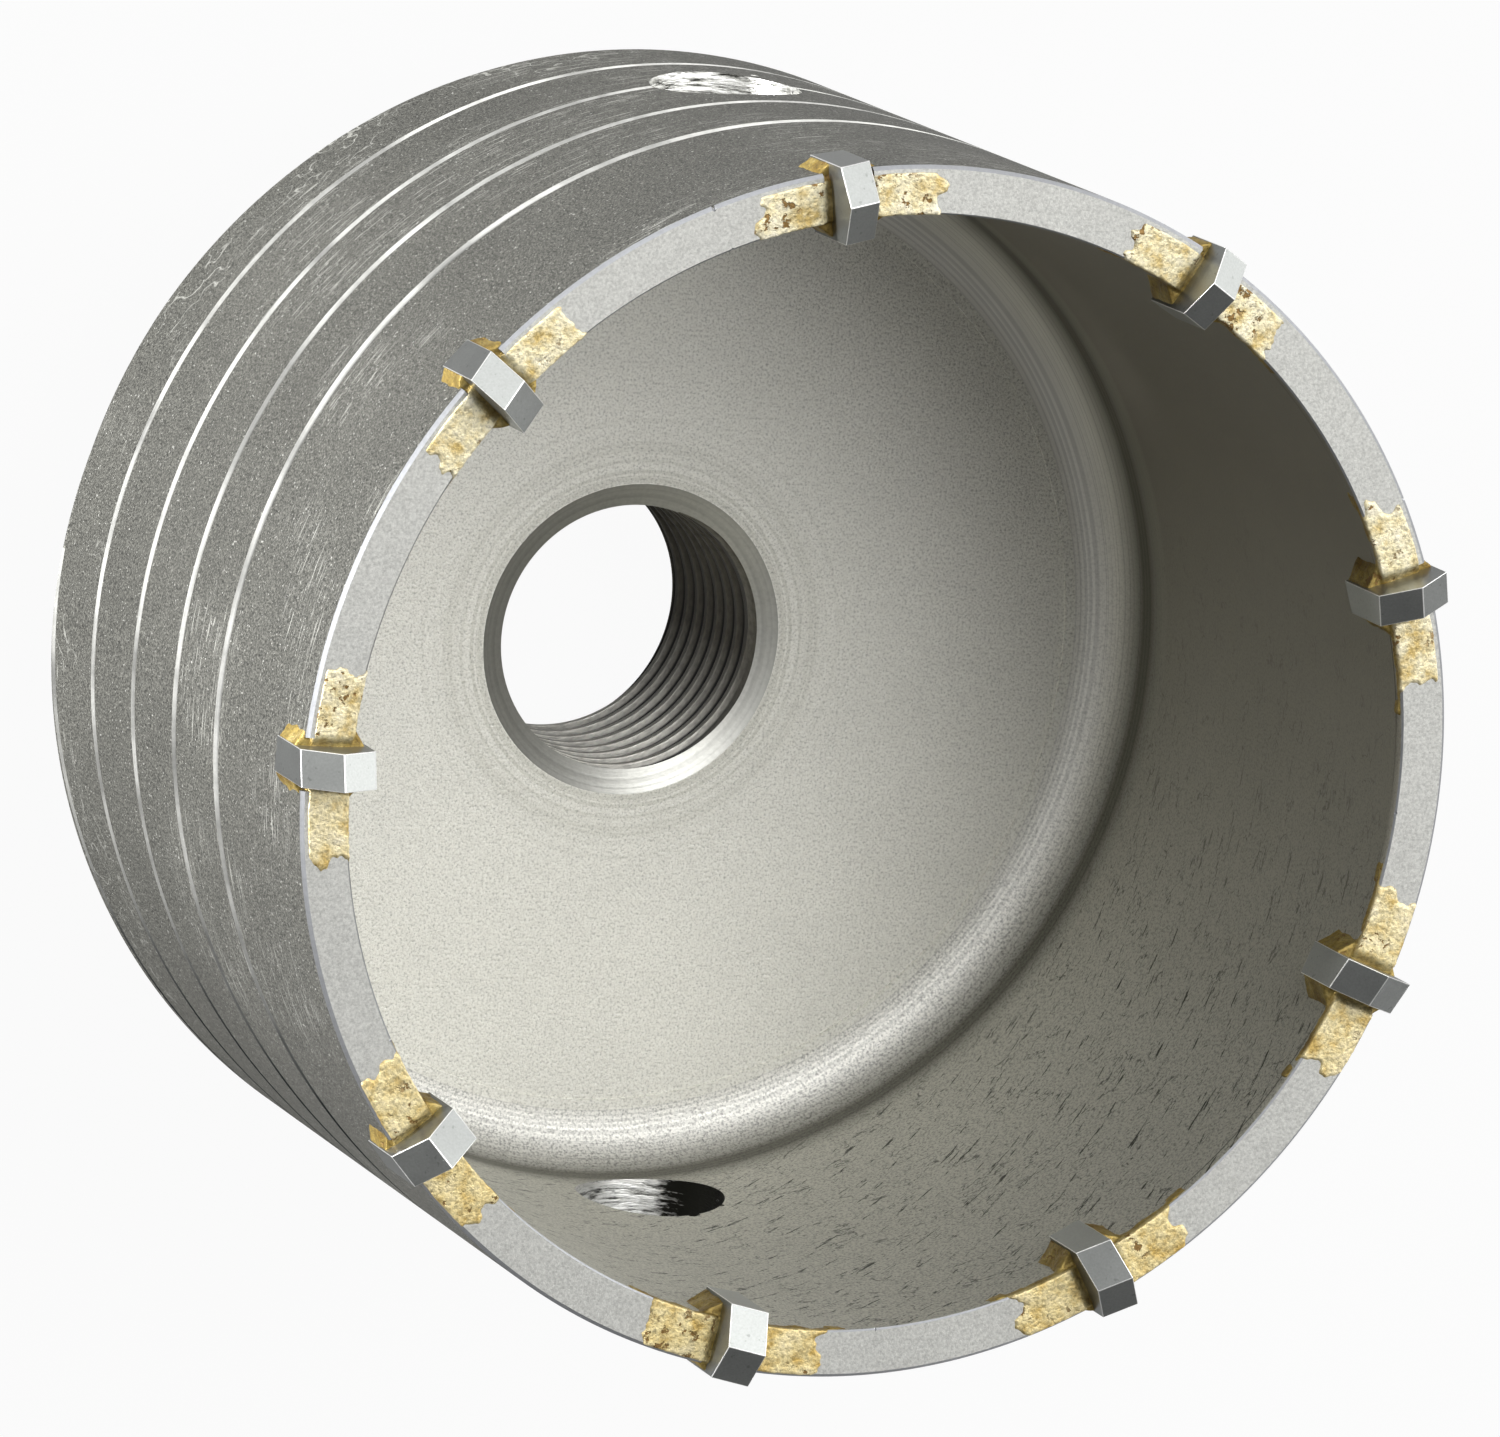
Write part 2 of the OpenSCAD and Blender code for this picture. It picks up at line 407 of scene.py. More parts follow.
# Finishes of the cup. Blasting left the steel grey and finely grained; the rim
# was ground after the brazing, and the bore, holes and groove are bare metal.
def blasted_wall():
    """Outer wall and hub: grey grain, pale specks, fine scratches along the turning."""
    material, nodes, links, bsdf = shader("blasted_wall", 0.45, 0.5)
    grey, pale_speck, scratched_steel = (0.12, 0.119, 0.105), (0.62, 0.62, 0.58), (0.5, 0.5, 0.46)
    grain = noise_node(nodes, links, 6200, 3, 0.65)
    coarse = noise_node(nodes, links, 2600, 2)
    patches = noise_node(nodes, links, 55, 4, 0.6)
    colour = ramp(nodes, links, grain, [(0.32, shade(grey, 0.2)), (0.5, grey), (0.68, shade(grey, 2.2))])
    colour = darken(nodes, links, 0.5, colour, coarse, [(0.35, 0.6), (0.6, 1.0)])
    colour = darken(nodes, links, 0.35, colour, patches, [(0.3, 0.7), (0.7, 1.0)])
    specks = ramp(nodes, links, noise_node(nodes, links, 4300, 1), [(0.7, 0.0), (0.75, 0.8)])
    colour = blend_colour(nodes, links, "MIX", specks, colour, pale_speck)
    worn = ramp(nodes, links, noise_node(nodes, links, 60, 2), [(0.5, 0.0), (0.6, 1.0)])
    flecks = ramp(nodes, links, noise_node(nodes, links, 300, 3, 0.7, (1, 1, 22)), [(0.58, 0.0), (0.64, 0.9)])
    flecks = product(nodes, links, worn, flecks)
    near_back = between(nodes, links, own_place(nodes, links).outputs["Z"], 24 * MM, 16 * MM)
    rubbed = ramp(nodes, links, noise_node(nodes, links, 130, 2), [(0.5, 0.0), (0.6, 1.0)])
    scratches = hairlines(nodes, links, 330, (1, 1, 1), 0.014, product(nodes, links, near_back, rubbed))
    for marks in flecks, scratches:
        colour = blend_colour(nodes, links, "MIX", marks, colour, scratched_steel)
    links.new(colour, bsdf.inputs["Base Color"])
    rough_range(nodes, links, bsdf, patches, 0.42, 0.58)
    relief(nodes, links, bsdf, [(coarse, 0.15, 0.0002), (grain, 0.6, 0.00015), (flecks, 0.3, 0.00004)])
    return material


def rim_steel():
    """Ground top of the rim."""
    material, nodes, links, bsdf = shader("rim_steel", 0.5, 0.5)
    grey = (0.555, 0.555, 0.525)
    grain = noise_node(nodes, links, 5200, 3, 0.65)
    patches = noise_node(nodes, links, 160, 3)
    colour = ramp(nodes, links, grain, [(0.3, shade(grey, 0.74)), (0.5, grey), (0.7, shade(grey, 1.22))])
    colour = darken(nodes, links, 0.12, colour, patches, [(0.3, 0.75), (0.7, 1.0)])
    links.new(colour, bsdf.inputs["Base Color"])
    rough_range(nodes, links, bsdf, grain, 0.42, 0.6)
    relief(nodes, links, bsdf, [(grain, 0.25, 0.00008)])
    return material


def bright_steel(name, base, in_groove=False):
    """Freshly cut steel with turning marks. In the groove, shade is painted in: dark at the root and on +Y."""
    material, nodes, links, bsdf = shader(name, 0.75, 0.36)
    groove_shade_black = (0.045, 0.05, 0.05)
    rings = ring_noise(nodes, links, 3500)
    grain = noise_node(nodes, links, 3000, 3, 0.6)
    colour = ramp(nodes, links, rings, [(0.3, shade(base, 0.8)), (0.7, base)])
    colour = darken(nodes, links, 0.4, colour, grain, [(0.3, 0.7), (0.6, 1.0)])
    if in_groove:
        distance, _ = axis_distance(nodes, links)
        # Painted shade: the groove darkens towards its root, where the lip shades it.
        painted_root_shade = between(nodes, links, distance, cup_r - 0.34 * MM, cup_r - 0.18 * MM)
        colour = darken(nodes, links, 1.0, colour, painted_root_shade, [(0.0, 0.25), (1.0, 1.0)])
        colour = darken(nodes, links, 1.0, colour, noise_node(nodes, links, 140, 3), [(0.38, 0.45), (0.58, 1.0)])
        # Painted shade: the groove is made nearly black on +Y, the side that faces away from the light.
        painted_side_shade = between(nodes, links, own_place(nodes, links).outputs["Y"], 12 * MM, 28 * MM)
        colour = blend_colour(nodes, links, "MIX", painted_side_shade, colour, groove_shade_black)
    links.new(colour, bsdf.inputs["Base Color"])
    relief(nodes, links, bsdf, [(rings, 0.2, 0.00005), (grain, 0.15, 0.00005)])
    return material


def floor_steel():
    """Floor of the cup: pale grain, with turning rings round the bore."""
    material, nodes, links, bsdf = shader("blasted_floor", 0.5, 0.5)
    pale_grey, brightest, ring_grey = (0.9, 0.89, 0.82), (1.0, 1.0, 0.95), (0.82, 0.82, 0.8)
    grain = noise_node(nodes, links, 5200, 4, 0.7)
    coarse = noise_node(nodes, links, 1900, 2)
    patches = noise_node(nodes, links, 70, 4, 0.6)
    rings = ring_noise(nodes, links, 2600)
    distance, _ = axis_distance(nodes, links)
    near_bore = between(nodes, links, distance, 18 * MM, 12 * MM)
    colour = ramp(nodes, links, grain, [(0.3, shade(pale_grey, 0.5)), (0.5, pale_grey), (0.7, brightest)])
    colour = darken(nodes, links, 0.3, colour, coarse, [(0.3, 0.8), (0.6, 1.0)])
    colour = darken(nodes, links, 0.3, colour, patches, [(0.3, 0.75), (0.7, 1.0)])
    turned = product(nodes, links, near_bore, ramp(nodes, links, rings, [(0.42, 1.0), (0.52, 0.0)]))
    colour = blend_colour(nodes, links, "MULTIPLY", turned, colour, ring_grey)
    links.new(colour, bsdf.inputs["Base Color"])
    rough_range(nodes, links, bsdf, patches, 0.42, 0.56)
    relief(nodes, links, bsdf, [(rings, 0.05, 0.0001), (coarse, 0.08, 0.0002), (grain, 0.45, 0.00012)])
    return material


def inner_wall():
    """Inside of the wall: smooth with painted shade on -Y, blasted and marked on +Y, with a painted highlight in
    the fillet and painted shade at its foot.
    """
    material, nodes, links, bsdf = shader("inner_wall", 0.45, 0.5)
    shaded_grey, grey, mark_black = (0.28, 0.26, 0.215), (0.6, 0.59, 0.52), (0.04, 0.04, 0.03)
    foot_shade_grey, fillet_highlight_grey = (0.2, 0.195, 0.16), (0.9, 0.89, 0.84)
    rings = ring_noise(nodes, links, 4200)
    grain = noise_node(nodes, links, 5200, 3, 0.65)
    patches = noise_node(nodes, links, 45, 3)
    spot = own_place(nodes, links)
    blasted_and_lit = between(nodes, links, spot.outputs["Y"], -20 * MM, 24 * MM)
    above_fillet = between(nodes, links, spot.outputs["Z"], floor_z + fillet, floor_z + 2 * fillet)
    # Painted shade: the -Y side of the wall gets a darker grey than the lit +Y side, which also carries the
    # blasted grain and marks.
    colour = ramp(nodes, links, blasted_and_lit, [(0.0, shaded_grey), (1.0, grey)])
    colour = darken(nodes, links, 0.4, colour, patches, [(0.3, 0.8), (0.7, 1.0)])
    # Painted highlight and painted shade: the fillet is painted bright and the wall just above it dark.
    foot_height = between(nodes, links, spot.outputs["Z"], floor_z, floor_z + 2 * fillet)
    painted_fillet_light = ramp(nodes, links, foot_height, [(0.0, fillet_highlight_grey), (0.16, fillet_highlight_grey), (0.45, foot_shade_grey),
                                            (0.6, foot_shade_grey), (1.0, grey)])
    near_floor = between(nodes, links, spot.outputs["Z"], floor_z + 2 * fillet, floor_z + 1.2 * fillet)
    colour = blend_colour(nodes, links, "MIX", near_floor, colour, painted_fillet_light)
    speckled = ramp(nodes, links, grain, [(0.32, 0.4), (0.55, 1.0)])
    colour = blend_colour(nodes, links, "MULTIPLY", blasted_and_lit, colour, speckled)
    turned = ramp(nodes, links, rings, [(0.44, 0.8), (0.52, 1.0)])
    colour = blend_colour(nodes, links, "MULTIPLY", near_floor, colour, turned)
    dashes = ramp(nodes, links, noise_node(nodes, links, 290, 4, 0.7, (1, 1, 9), -0.6), [(0.61, 0.0), (0.64, 1.0)])
    lower_side = between(nodes, links, spot.outputs["Y"], -4 * MM, 20 * MM)
    dashes = product(nodes, links, dashes, lower_side)
    marked = ramp(nodes, links, noise_node(nodes, links, 420, 2), [(0.52, 0.0), (0.58, 0.9)])
    hooks = hairlines(nodes, links, 420, (1, 1, 2.2), 0.02, product(nodes, links, blasted_and_lit, marked))
    level = between(nodes, links, spot.outputs["Z"], rim_z - 1.6 * MM, rim_z - 0.4 * MM)
    edge_line = ramp(nodes, links, level, [(0.4, 0.0), (0.5, 0.9), (0.6, 0.0)])
    broken = ramp(nodes, links, noise_node(nodes, links, 50, 3), [(0.45, 0.0), (0.55, 1.0)])
    edge_line = product(nodes, links, edge_line, broken)
    for marks in dashes, hooks, edge_line:
        colour = blend_colour(nodes, links, "MIX", product(nodes, links, marks, above_fillet), colour, mark_black)
    links.new(colour, bsdf.inputs["Base Color"])
    rough_range(nodes, links, bsdf, grain, 0.42, 0.55)
    relief(nodes, links, bsdf, [(rings, 0.05, 0.00006), (grain, 0.35, 0.0001)])
    return material


def thread_steel():
    """Bore and thread: bright crests, roots darkened to black by dirt and painted shade, painted shade on the side
    of -Y, grey in the last turn.
    """
    material, nodes, links, bsdf = shader("thread_steel", 0.4, 0.36)
    crest, root_dirt_and_shade = (0.85, 0.83, 0.76), (0.008, 0.007, 0.006)
    thread_shade_grey, last_turn_grey = (0.2, 0.19, 0.17), (0.22, 0.21, 0.18)
    grain = noise_node(nodes, links, 1500, 4, 0.6, (1, 1, 5))
    distance, level = axis_distance(nodes, links)
    depth = between(nodes, links, distance, bore_r, root_r)
    # Dirt and painted shade: the thread darkens with depth, to black at the roots.
    colour = ramp(nodes, links, depth, [(0.02, crest), (0.12, shade(crest, 0.7)), (0.3, shade(crest, 0.55)),
                                        (0.4, root_dirt_and_shade)])
    # Painted shade: the thread is darkened on the -Y side, away from the light.
    painted_thread_shade = between(nodes, links, own_place(nodes, links).outputs["Y"], 8.5 * MM, 1 * MM)
    colour = blend_colour(nodes, links, "MULTIPLY", painted_thread_shade, colour, thread_shade_grey)
    last_turn = between(nodes, links, level, 16.7 * MM, 17.1 * MM)
    colour = blend_colour(nodes, links, "MIX", last_turn, colour, last_turn_grey)
    colour = darken(nodes, links, 0.7, colour, grain, [(0.35, 0.5), (0.6, 1.0)])
    links.new(colour, bsdf.inputs["Base Color"])
    rough_range(nodes, links, bsdf, grain, 0.3, 0.45)
    relief(nodes, links, bsdf, [(grain, 0.3, 0.0001)])
    return material


def drilled_steel():
    """Cross holes: torn bright streaks with a burr inside, painted shade on the -X side of the +Y hole."""
    material, nodes, links, bsdf = shader("drilled_steel", 0.9, 0.3)
    torn, cut_grey, bright = (0.03, 0.03, 0.025), (0.55, 0.55, 0.52), (0.97, 0.97, 0.94)
    burr_white, hole_shade_black = (0.95, 0.94, 0.9), (0.02, 0.02, 0.016)
    streaks = noise_node(nodes, links, 330, 5, 0.75, (1, 9, 2.5))
    tears = noise_node(nodes, links, 700, 3, 0.7, (1, 5, 1))
    colour = ramp(nodes, links, streaks, [(0.37, torn), (0.45, cut_grey), (0.56, bright)])
    colour = darken(nodes, links, 0.7, colour, tears, [(0.34, 0.15), (0.42, 1.0)])
    spot = own_place(nodes, links)
    distance, _ = axis_distance(nodes, links)
    burr = product(nodes, links, between(nodes, links, distance, inner_r + 0.5 * MM, inner_r + 0.2 * MM),
                   ramp(nodes, links, tears, [(0.45, 0.0), (0.5, 0.9)]))
    colour = blend_colour(nodes, links, "MIX", burr, colour, burr_white)
    # Painted shade: the -X side of the +Y hole is made nearly black, where its wall lies in shade.
    painted_hole_shade = product(nodes, links, between(nodes, links, spot.outputs["X"], -2.9 * MM, -6.2 * MM),
                       between(nodes, links, spot.outputs["Y"], 0, 1 * MM))
    painted_hole_shade = ramp(nodes, links, product(nodes, links, painted_hole_shade, between(nodes, links, tears, 0.15, 0.6)),
                    [(0.25, 0.0), (0.38, 1.0)])
    colour = blend_colour(nodes, links, "MIX", painted_hole_shade, colour, hole_shade_black)
    links.new(colour, bsdf.inputs["Base Color"])
    rough_range(nodes, links, bsdf, streaks, 0.25, 0.45)
    relief(nodes, links, bsdf, [(streaks, 0.5, 0.0002), (tears, 0.4, 0.0001)])
    return material


groove_grey, chamfer_grey, lead_in_grey = (0.85, 0.85, 0.81), (0.45, 0.46, 0.48), (0.6, 0.6, 0.56)
finishes = {"wall": blasted_wall(), "rim": rim_steel(),
            "groove": bright_steel("groove_steel", groove_grey, in_groove=True),
            "floor": floor_steel(), "inner wall": inner_wall(), "thread": thread_steel(),
            "cross hole": drilled_steel(), "chamfer": bright_steel("chamfer_steel", chamfer_grey),
            "lead-in": bright_steel("lead_steel", lead_in_grey)}
finish_names = list(finishes)
across = Matrix.Rotation(-cross_angle, 3, "Z")
hair = 0.01 * MM
wall_facet_r = cup_r * math.cos(math.pi / turn_steps) - hair
groove_bottom_r = cup_r - 0.8 * MM
sharp_angle = math.radians(24)


def finish_of(centre, normal):
    """Name of the finish of the cup's face at this place."""
    radius = math.hypot(centre.x, centre.y)
    outwards = (normal.x * centre.x + normal.y * centre.y) / radius
    local, turned = across @ centre, across @ normal
    off_cross = math.hypot(local.y, local.z - cross_z)
    in_bore = radius < lead_r
    if centre.z > rim_z - rim_chamfer - hair and normal.z > 0.3:
        return "rim" if normal.z > 0.9 else "chamfer"
    if centre.z > rim_z - rim_break - hair and radius < inner_r + rim_break:
        return "chamfer"
    if off_cross < cross_r * 1.002 and abs(turned.x) < 0.05 and inner_r - 0.1 * MM < radius:
        return "cross hole"
    if in_bore and centre.z > floor_z - step_h - lead_depth and 0.3 < normal.z < 0.99 and outwards < 0:
        return "lead-in"
    if in_bore and abs(normal.z) < 0.99:
        return "thread"
    if groove_bottom_r < radius < wall_facet_r and outwards > 0.3 and centre.z > hub_h + back_chamfer:
        return "groove"
    if radius < inner_r - fillet and centre.z > floor_z - 2 * step_h:
        return "floor"
    if radius < inner_r + hair and centre.z > floor_z - hair:
        return "inner wall"
    return "wall"


cup.data.materials.clear()
for material in finishes.values():
    cup.data.materials.append(material)
for face in cup.data.polygons:
    face.material_index = finish_names.index(finish_of(face.center, face.normal))
cup.data.set_sharp_from_angle(angle=sharp_angle)
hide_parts("cup_body")
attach(cup, "root")

# Tips. Nine five-sided plates of sintered hard metal, ground all over, that
# stand across the wall; their tops fall behind the cutting edge.
tip_t = 2.5 * MM
tip_outer_r = cup_r + 0.65 * MM
tip_inner_r = inner_r - 1.4 * MM
ridge_r = cup_r - 2.0 * MM
foot_z = rim_z - 3.9 * MM
tip_section = [(tip_outer_r, foot_z), (tip_outer_r, rim_z + 1.7 * MM), (ridge_r, rim_z + 3.2 * MM),
               (tip_inner_r, rim_z + 1.8 * MM), (tip_inner_r, foot_z)]
relief_angle = math.radians(20)
tip_edge = 0.05 * MM


def hard_metal(name, base, roughness):
    """Ground hard metal with smears and fine pores."""
    material, nodes, links, bsdf = shader(name, 0.9, roughness)
    grain = noise_node(nodes, links, 6000, 2)
    smears = noise_node(nodes, links, 380, 4, 0.65)
    colour = ramp(nodes, links, grain, [(0.25, shade(base, 0.86)), (0.75, base)])
    colour = darken(nodes, links, 0.3, colour, smears, [(0.35, 0.8), (0.6, 1.0)])
    pores = ramp(nodes, links, noise_node(nodes, links, 2600, 1), [(0.7, 0.0), (0.76, 0.5)])
    colour = blend_colour(nodes, links, "MIX", pores, colour, shade(base, 0.45))
    links.new(colour, bsdf.inputs["Base Color"])
    rough_range(nodes, links, bsdf, smears, roughness - 0.05, roughness + 0.07)
    relief(nodes, links, bsdf, [(smears, 0.05, 0.0001), (grain, 0.06, 0.00004)])
    return material


# The bevels are painted near white: edge wear, and a painted highlight along the crisp edges.
ground_grey, edge_highlight_white = (0.31, 0.32, 0.31), (0.9, 0.9, 0.88)
tip_finishes = [hard_metal("hard_metal", ground_grey, 0.3), hard_metal("worn_and_highlit_edge", edge_highlight_white, 0.4)]
for i in range(tip_count):
    bm = bmesh.new()
    front = bm.faces.new([bm.verts.new((r, tip_t / 2, z)) for r, z in tip_section])
    swept = bmesh.ops.extrude_face_region(bm, geom=[front], use_keep_orig=True)
    back = [g for g in swept["geom"] if isinstance(g, bmesh.types.BMVert)]
    for vert in back:
        vert.co.y -= tip_t
        if vert.co.z > rim_z:
            vert.co.z -= tip_t * math.tan(relief_angle)
    bmesh.ops.recalc_face_normals(bm, faces=bm.faces)
    worn = bmesh.ops.bevel(bm, geom=list(bm.edges), offset=tip_edge, affect="EDGES", segments=2,
                           profile=0.5, material=-1, clamp_overlap=True)
    for face in worn["faces"]:
        face.material_index = 1
    bmesh.ops.rotate(bm, verts=bm.verts, cent=(0, 0, 0), matrix=Matrix.Rotation(i * tip_step, 3, "Z"))
    bmesh.ops.recalc_face_normals(bm, faces=bm.faces)
    tip = finish_mesh(f"tip_{i + 1}", bm)
    for material in tip_finishes:
        tip.data.materials.append(material)
    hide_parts(f"carbide_tip_{i + 1}")
    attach(tip, "root")

# Braze. Brass-coloured filler that was melted into each slot: it stands in
# fillets beside the tip, lies dished in the seams and ran out over the rim.
seam_w = 0.6 * MM
seam_dip = 0.38 * MM
skin_t = 0.12 * MM
skin_l = 5.4 * MM
wing_out = 2.0 * MM
wing_in = 2.5 * MM
braze_voxel = 0.11 * MM
full_width = (1, 2, 3, 4)
full_gap, usual_gap = 0.15 * MM, 0.5 * MM
sheet_rows, sheet_columns = 34, 140
sheet_over, sheet_t = 1.2 * MM, 0.9 * MM
smooth_passes = 3


def braze_metal():
    """Braze: brown-gold on the walls, cream on the ground rim, pitted in places."""
    material, nodes, links, bsdf = shader("braze_metal", 0.55, 0.45)
    golds = (0.2, 0.12, 0.02), (0.46, 0.34, 0.1), (0.7, 0.58, 0.28)
    creams = (0.62, 0.46, 0.17), (0.87, 0.78, 0.51), (0.9, 0.84, 0.66)
    pit_brown, golden_tint = (0.24, 0.14, 0.04), (0.97, 0.9, 0.7)
    grain = noise_node(nodes, links, 4200, 3, 0.65)
    blotch = noise_node(nodes, links, 520, 4, 0.6)
    _, level = axis_distance(nodes, links)
    on_rim = between(nodes, links, level, rim_z - 0.3 * MM, rim_z + 0.1 * MM)
    gold = ramp(nodes, links, blotch, list(zip((0.3, 0.6, 0.8), golds)))
    cream = ramp(nodes, links, blotch, list(zip((0.34, 0.5, 0.68), creams)))
    golden = between(nodes, links, own_place(nodes, links).outputs["Y"], -15 * MM, 30 * MM)
    cream = blend_colour(nodes, links, "MULTIPLY", golden, cream, golden_tint)
    colour = blend_colour(nodes, links, "MIX", on_rim, gold, cream)
    colour = darken(nodes, links, 0.8, colour, grain, [(0.32, 0.45), (0.55, 1.0)])
    where = ramp(nodes, links, noise_node(nodes, links, 260, 2), [(0.46, 0.0), (0.56, 1.0)])
    holes = ramp(nodes, links, noise_node(nodes, links, 1300, 3, 0.6), [(0.37, 1.0), (0.41, 0.0)])
    pits = blend_colour(nodes, links, "MULTIPLY", 1.0, where, holes)
    colour = blend_colour(nodes, links, "MIX", pits, colour, pit_brown)
    links.new(colour, bsdf.inputs["Base Color"])
    rough_range(nodes, links, bsdf, grain, 0.36, 0.6)
    relief(nodes, links, bsdf, [(blotch, 0.35, 0.0003), (grain, 0.5, 0.00014), (pits, 0.6, -0.0002)])
    return material


def wedge(bm, wall_r, end_r, reach, low, high):
    """Fillet of braze from the tip's end down to the wall on both sides."""
    outline = [(wall_r, -reach), (end_r, -tip_t / 2), (end_r, tip_t / 2), (wall_r, reach)]
    face = bm.faces.new([bm.verts.new((r, y, low)) for r, y in outline])
    swept = bmesh.ops.extrude_face_region(bm, geom=[face], use_keep_orig=True)
    top = [g for g in swept["geom"] if isinstance(g, bmesh.types.BMVert)]
    bmesh.ops.translate(bm, verts=top, vec=(0, 0, high - low))


def smooth(low, high, x):
    """0 below low, 1 above high, and an even slope between."""
    t = min(1, max(0, (x - low) / (high - low)))
    return t * t * (3 - 2 * t)


braze_material = braze_metal()
reach = slot_w / 2 + skin_l
skin_inner_r = inner_r - 0.06 * MM
below_rim, wing_root = 0.5 * MM, 0.8 * MM
seam_block = (Matrix.Translation(((cup_r + inner_r) / 2, 0, rim_z - slot_depth / 2 - below_rim))
              @ Matrix.Diagonal((cup_r - inner_r, slot_w + 0.1 * MM, slot_depth - 0.8 * MM, 1)))
wing_top = rim_z - below_rim
for i in range(tip_count):
    bm = bmesh.new()
    bmesh.ops.create_cube(bm, size=1, matrix=seam_block)
    wedge(bm, cup_r - wing_root, tip_outer_r - 0.1 * MM, tip_t / 2 + wing_out, foot_z, wing_top)
    wedge(bm, inner_r + wing_root, tip_inner_r + 0.2 * MM, tip_t / 2 + wing_in, foot_z, wing_top)
    # The run-out: a sheet bent round the rim, ragged at its ends and dished
    # beside the tip.
    skin_outer_r = cup_r - (full_gap if i in full_width else usual_gap)
    grid = bmesh.ops.create_grid(bm, x_segments=sheet_rows, y_segments=sheet_columns, size=1)
    sheet = grid["verts"]
    seed = 17.0 * i
    for vert in sheet:
        u, v = vert.co.x, vert.co.y
        along = v * (reach + sheet_over)
        radius = skin_inner_r + (u + 1) / 2 * (skin_outer_r - skin_inner_r)
        side = 5.0 if along > 0 else -5.0
        ragged = (1.5 * noise.noise(Vector((u * 1.1, side, seed)))
                  + 0.5 * noise.noise(Vector((u * 4, side, seed))))
        edge = abs(along) - (reach - 0.5 * MM + ragged * MM)
        height = skin_t * (1 - 3.2 * smooth(-0.12 * MM, 0.12 * MM, edge))
        away = (abs(along) - tip_t / 2) / (seam_w + 0.2 * MM)
        if away < 1:
            uneven = 0.25 * noise.noise(Vector((u * 2, side, seed + 3)))
            height -= seam_dip * (1 - smooth(0.15, 1, away) + uneven)
        vert.co = (radius * math.cos(along / radius), radius * math.sin(along / radius), rim_z + height)
    faces = list({f for v in sheet for f in v.link_faces})
    swept = bmesh.ops.extrude_face_region(bm, geom=faces, use_keep_orig=True)
    low = [g for g in swept["geom"] if isinstance(g, bmesh.types.BMVert)]
    bmesh.ops.translate(bm, verts=low, vec=(0, 0, -sheet_t))
    bmesh.ops.recalc_face_normals(bm, faces=bm.faces)
    # Melted into one skin, smoothed and made uneven.
    braze = finish_mesh(f"braze_run_{i + 1}", bm)
    remesh = braze.modifiers.new("melt", "REMESH")
    remesh.mode = "VOXEL"
    remesh.voxel_size = braze_voxel
    evaluated = braze.evaluated_get(bpy.context.evaluated_depsgraph_get())
    melted = bpy.data.meshes.new_from_object(evaluated)
    braze.modifiers.clear()
    bm = bmesh.new()
    bm.from_mesh(melted)
    for _ in range(smooth_passes):
        bmesh.ops.smooth_vert(bm, verts=bm.verts, factor=0.5,
                              use_axis_x=True, use_axis_y=True, use_axis_z=True)
    bm.normal_update()
    for vert in bm.verts:
        place = vert.co / MM
        on_wall = 1 - smooth(-0.5, 0.0, place.z - rim_z / MM)
        swell = ((0.03 + 0.1 * on_wall) * noise.noise(place * 0.9 + Vector((seed, 0, 0)))
                 + 0.03 * noise.noise(place * 3.0))
        vert.co += vert.normal * swell * MM
    bmesh.ops.rotate(bm, verts=bm.verts, cent=(0, 0, 0), matrix=Matrix.Rotation(i * tip_step, 3, "Z"))
    for face in bm.faces:
        face.smooth = True
    bm.to_mesh(melted)
    bm.free()
    braze.data = melted
    braze.data.materials.append(braze_material)
    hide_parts(f"braze_{i + 1}")
    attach(braze, "root")

# Studio. A floor that the lens sees as white but that keeps the shadow, in
# white surroundings. Metal sees them bright towards the picture's top right
# and dim towards its lower left.
bm = bmesh.new()
bmesh.ops.create_grid(bm, x_segments=1, y_segments=1, size=2.5)
floor = finish_mesh("floor", bm)
seen_by_lens, seen_in_metal = 0.95, 0.1
material, nodes, links, bsdf = shader("studio_floor", 0.0, 0.9)
bsdf.inputs["Base Color"].default_value = (0.5, 0.5, 0.5, 1)
glow = nodes.new("ShaderNodeEmission")
glow.inputs["Color"].default_value = (1, 1, 1, 1)
rays = nodes.new("ShaderNodeLightPath")
to_lens = nodes.new("ShaderNodeMath")
to_lens.operation = "MULTIPLY"
to_lens.inputs[1].default_value = seen_by_lens
links.new(rays.outputs["Is Camera Ray"], to_lens.inputs[0])
seen = nodes.new("ShaderNodeMath")
seen.operation = "MULTIPLY_ADD"
seen.inputs[1].default_value = seen_in_metal
links.new(rays.outputs["Is Glossy Ray"], seen.inputs[0])
links.new(to_lens.outputs[0], seen.inputs[2])
mix = nodes.new("ShaderNodeMixShader")
links.new(seen.outputs[0], mix.inputs["Fac"])
links.new(bsdf.outputs["BSDF"], mix.inputs[1])
links.new(glow.outputs["Emission"], mix.inputs[2])
links.new(mix.outputs["Shader"], nodes["Material Output"].inputs["Surface"])
floor.data.materials.append(material)

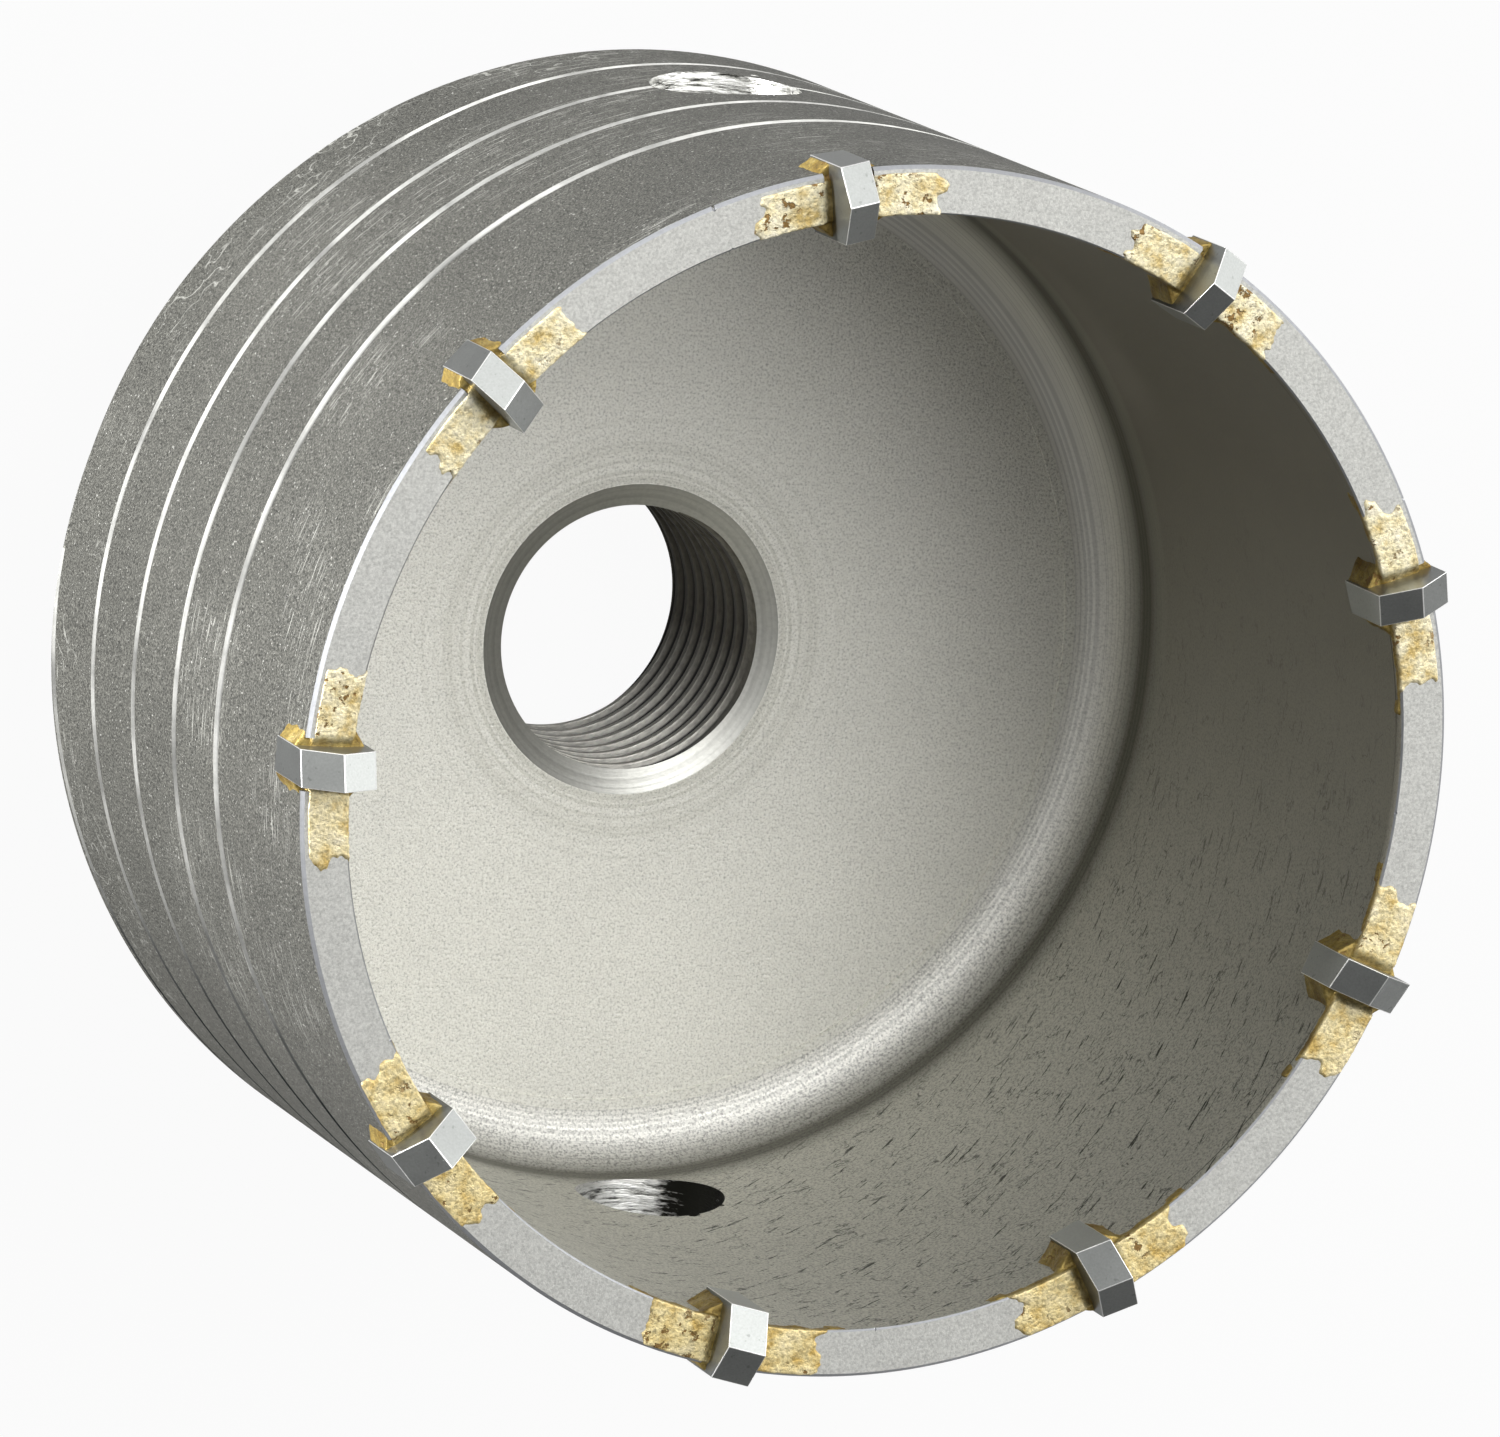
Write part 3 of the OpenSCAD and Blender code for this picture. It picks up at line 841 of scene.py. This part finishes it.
bright_side = Vector((-0.42, -0.8, 0.35))
dim_sky, bright_sky = 0.2, 1.3
dim_below, bright_above = -0.4, 0.85
sky_on_dull, sky_to_lens = 0.0, 1.0
world = bpy.data.worlds.new("studio")
scene.world = world
world.use_nodes = True
world.cycles.sampling_method = "NONE"
nodes, links = world.node_tree.nodes, world.node_tree.links
towards = nodes.new("ShaderNodeVectorMath")
towards.operation = "DOT_PRODUCT"
towards.inputs[1].default_value = bright_side.normalized()
links.new(nodes.new("ShaderNodeTexCoord").outputs["Generated"], towards.inputs[0])
sky = nodes.new("ShaderNodeMapRange")
sky.interpolation_type = "SMOOTHSTEP"
sky.inputs["From Min"].default_value = dim_below
sky.inputs["From Max"].default_value = bright_above
sky.inputs["To Min"].default_value = dim_sky
sky.inputs["To Max"].default_value = bright_sky
links.new(towards.outputs["Value"], sky.inputs["Value"])
rays = nodes.new("ShaderNodeLightPath")
shiny = nodes.new("ShaderNodeMix")
shiny.inputs[2].default_value = sky_on_dull
links.new(rays.outputs["Is Glossy Ray"], shiny.inputs[0])
links.new(sky.outputs["Result"], shiny.inputs[3])
plain = nodes.new("ShaderNodeMix")
plain.inputs[3].default_value = sky_to_lens
links.new(rays.outputs["Is Camera Ray"], plain.inputs[0])
links.new(shiny.outputs[0], plain.inputs[2])
background = nodes["Background"]
background.inputs["Color"].default_value = (1, 1, 1, 1)
links.new(plain.outputs[0], background.inputs["Strength"])

# Lamps. Three large soft ones, a low strip from the picture's left, and a low
# strip behind the cup that metal doesn't mirror. All shine at the cup's middle.
lamp_aim = Vector((0, 0, 40 * MM))


def soft_lamp(name, towards, distance, size, power, height=None):
    """Area lamp in that direction, as high as wide unless a height is given."""
    lamp = bpy.data.objects.new(name, bpy.data.lights.new(name, "AREA"))
    lamp.data.shape = "RECTANGLE"
    lamp.data.size = size
    lamp.data.size_y = height or size
    lamp.data.energy = power
    scene.collection.objects.link(lamp)
    direction = Vector(towards).normalized()
    lamp.matrix_world = (Matrix.Translation(lamp_aim + direction * distance)
                         @ direction.to_track_quat("Z", "Y").to_matrix().to_4x4())
    return lamp


soft_lamp("key", (0, -0.643, 0.766), 1, 0.6, 2.7)
soft_lamp("above", (-0.27, -0.324, 0.906), 1, 0.6, 3.6)
soft_lamp("right", (-0.84, -0.35, 0.34), 1, 0.8, 4.8)
soft_lamp("left", (0.978, -0.207, 0), 1, 0.75, 26, 0.08)
fill = soft_lamp("behind", (-0.74, 0.67, 0.04), 1, 0.7, 8, 0.1)
fill.visible_glossy = False

scene.view_settings.view_transform = "Standard"
